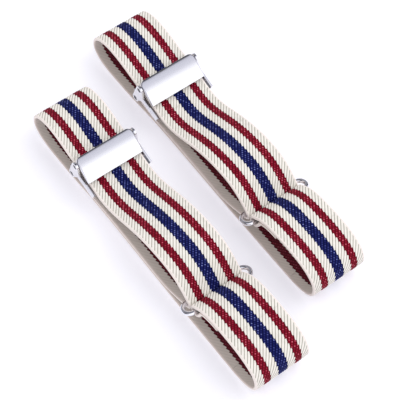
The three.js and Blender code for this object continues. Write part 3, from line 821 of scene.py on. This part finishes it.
def cover_mesh(name, slide_x, place):
    """The cover's section is a shallow U: a flat between two quarter-round folds, with a flange
    below each, and the same again inside by the sheet's thickness.  It is carried along a Bezier
    from the rear edge to the lip, and its half width follows a quarter circle at the rear."""
    path = run(COVER_REAR, COVER_REAR_HEADING, COVER_LIP, COVER_LIP_HEADING, COVER_PULL)
    heads = np.gradient(path, axis=0)
    heads /= np.linalg.norm(heads, axis=1)[:, None]
    reach = lengths(path)
    corner = COVER_CORNER * (1 - np.cos(np.linspace(0, np.pi / 2, CORNER_STEPS)))
    distance = np.concatenate([corner, np.linspace(COVER_CORNER, reach[-1], COVER_STEPS)[1:]])
    x, z, along_x, along_z = (np.interp(distance, reach, line)[:, None]
                              for line in (path[:, 0], path[:, 1], heads[:, 0], heads[:, 1]))

    inset = np.maximum(COVER_CORNER - distance, 0)
    half = COVER_HALF - COVER_CORNER + np.sqrt(COVER_CORNER ** 2 - inset ** 2)
    flange = FLANGE_REAR + (FLANGE_LIP - FLANGE_REAR) * distance / reach[-1]
    turn = np.radians(np.linspace(0, 90, FOLD_STEPS))

    def side(radius):
        """One side's places across and rises, from the flange's foot up round the fold."""
        across = half[:, None] - COVER_FOLD + radius * np.cos(turn)
        rise = np.broadcast_to(radius * np.sin(turn) - COVER_FOLD, across.shape)
        return np.hstack([across[:, :1], across]), np.hstack([-flange[:, None], rise])

    outer, outer_rise = side(COVER_FOLD)
    inner, inner_rise = side(COVER_FOLD - COVER_SHEET)
    across = np.hstack([outer, -outer[:, ::-1], -inner, inner[:, ::-1]])
    rise = np.hstack([outer_rise, outer_rise[:, ::-1], inner_rise, inner_rise[:, ::-1]])
    rise += COVER_SHEET / 2

    side_view = from_slide(slide_x, x - along_z * rise, z + along_x * rise)
    points = np.stack([side_view[..., 0], across, side_view[..., 1]], axis=-1) * MM + place
    return tube_mesh(name, points, np.zeros((*across.shape, 2)))


for band, slide_x in SLIDE_X.items():
    # The cover, with its faces turned outwards
    name = "chrome_lever_cover_" + band
    cover = add_piece(name, cover_mesh(name, slide_x, band_places[band]), "chrome", chrome)
    work = bmesh.new()
    work.from_mesh(cover.data)
    bmesh.ops.recalc_face_normals(work, faces=work.faces)
    work.to_mesh(cover.data)
    work.free()
    cover.data.set_sharp_from_angle(angle=CREASE)
    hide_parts("lever_" + band)
    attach(cover, "lever_" + band)

    # The knuckle: what the stamped lever has behind a cut just past its pin, drawn in at the
    # sides so that it stays between the cover's flanges
    knuckle = eased_copy("lever_" + band, "chrome_lever_knuckle_" + band, KNUCKLE_EASE)
    cut = from_slide(slide_x, PIN_PLACE[0] + KNUCKLE_REACH, PIN_PLACE[1])
    cut_place = np.array([cut[0], 0.0, cut[1]]) * MM + band_places[band]
    forward = heading(-SLIDE_TILT)
    work = bmesh.new()
    work.from_mesh(knuckle.data)
    found = bmesh.ops.bisect_plane(
        work, geom=work.verts[:] + work.edges[:] + work.faces[:], dist=CUT_WITHIN,
        plane_co=cut_place, plane_no=(forward[0], 0, forward[1]), clear_outer=True)
    rim = [edge for edge in found["geom_cut"] if isinstance(edge, bmesh.types.BMEdge)]
    bmesh.ops.holes_fill(work, edges=rim)
    bmesh.ops.scale(work, verts=work.verts, vec=(1, KNUCKLE_SHARE, 1),
                    space=Matrix.Translation(-Vector(cut_place)))
    work.to_mesh(knuckle.data)
    work.free()
    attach(knuckle, "lever_" + band)

# ---- Wire ring ---------------------------------------------------------------------------------
# A closed loop of round chrome wire with two straight bars and half-round ends.  The butt of the
# wire is brazed and polished flush in the middle of the left bar.

RING_LENGTH = 32.6
WIRE_SIDES = 28
END_STEPS = 40
BAR_STEPS = 40
WIRE_FIT = 0.985


def ring_mesh(name, shift):
    """A circle carried round a racetrack: straight bars joined by half circles, in the plane of
    the band's side view tilted by the ring's tilt.  The section's normals are the racetrack's
    own, so the mesh closes on itself."""
    bend = RING_PITCH / 2
    straight = RING_LENGTH / 2 - RING_WIRE - bend
    end = np.linspace(0, np.pi, END_STEPS, endpoint=False)
    bar = np.linspace(-straight, straight, BAR_STEPS, endpoint=False)
    level, zero = np.ones(BAR_STEPS), np.zeros(BAR_STEPS)
    out_along = np.concatenate([np.cos(end), -level, -np.cos(end), level])
    out_across = np.concatenate([np.sin(end), zero, -np.sin(end), zero])
    along = bend * out_along
    across = np.concatenate([straight + bend * np.sin(end), -bar,
                             -straight - bend * np.sin(end), bar])

    turn = np.linspace(0, 2 * np.pi, WIRE_SIDES, endpoint=False)
    out, lift = RING_WIRE * WIRE_FIT * np.cos(turn), RING_WIRE * WIRE_FIT * np.sin(turn)
    reach = along[:, None] + out * out_along[:, None]
    y = across[:, None] + out * out_across[:, None]
    side_view = (RING_PLACE + np.multiply.outer(reach, heading(RING_TILT))
                 + np.multiply.outer(lift, heading(90 + RING_TILT)))
    points = np.stack([side_view[..., 0], y, side_view[..., 1]], axis=-1) * MM + shift

    index = np.arange(y.size).reshape(y.shape)
    beside = np.roll(index, -1, axis=1)
    quads = np.stack([index, np.roll(index, -1, axis=0), np.roll(beside, -1, axis=0), beside],
                     axis=-1)
    mesh = bpy.data.meshes.new(name)
    mesh.from_pydata(points.reshape(-1, 3), [], quads.reshape(-1, 4))
    mesh.polygons.foreach_set("use_smooth", np.ones(len(mesh.polygons), bool))
    return mesh


for band, place in band_places.items():
    piece = add_piece("wire_ring_" + band, ring_mesh("wire_ring_" + band, place), "chrome", chrome)
    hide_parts("ring_" + band)
    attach(piece, "ring_" + band)
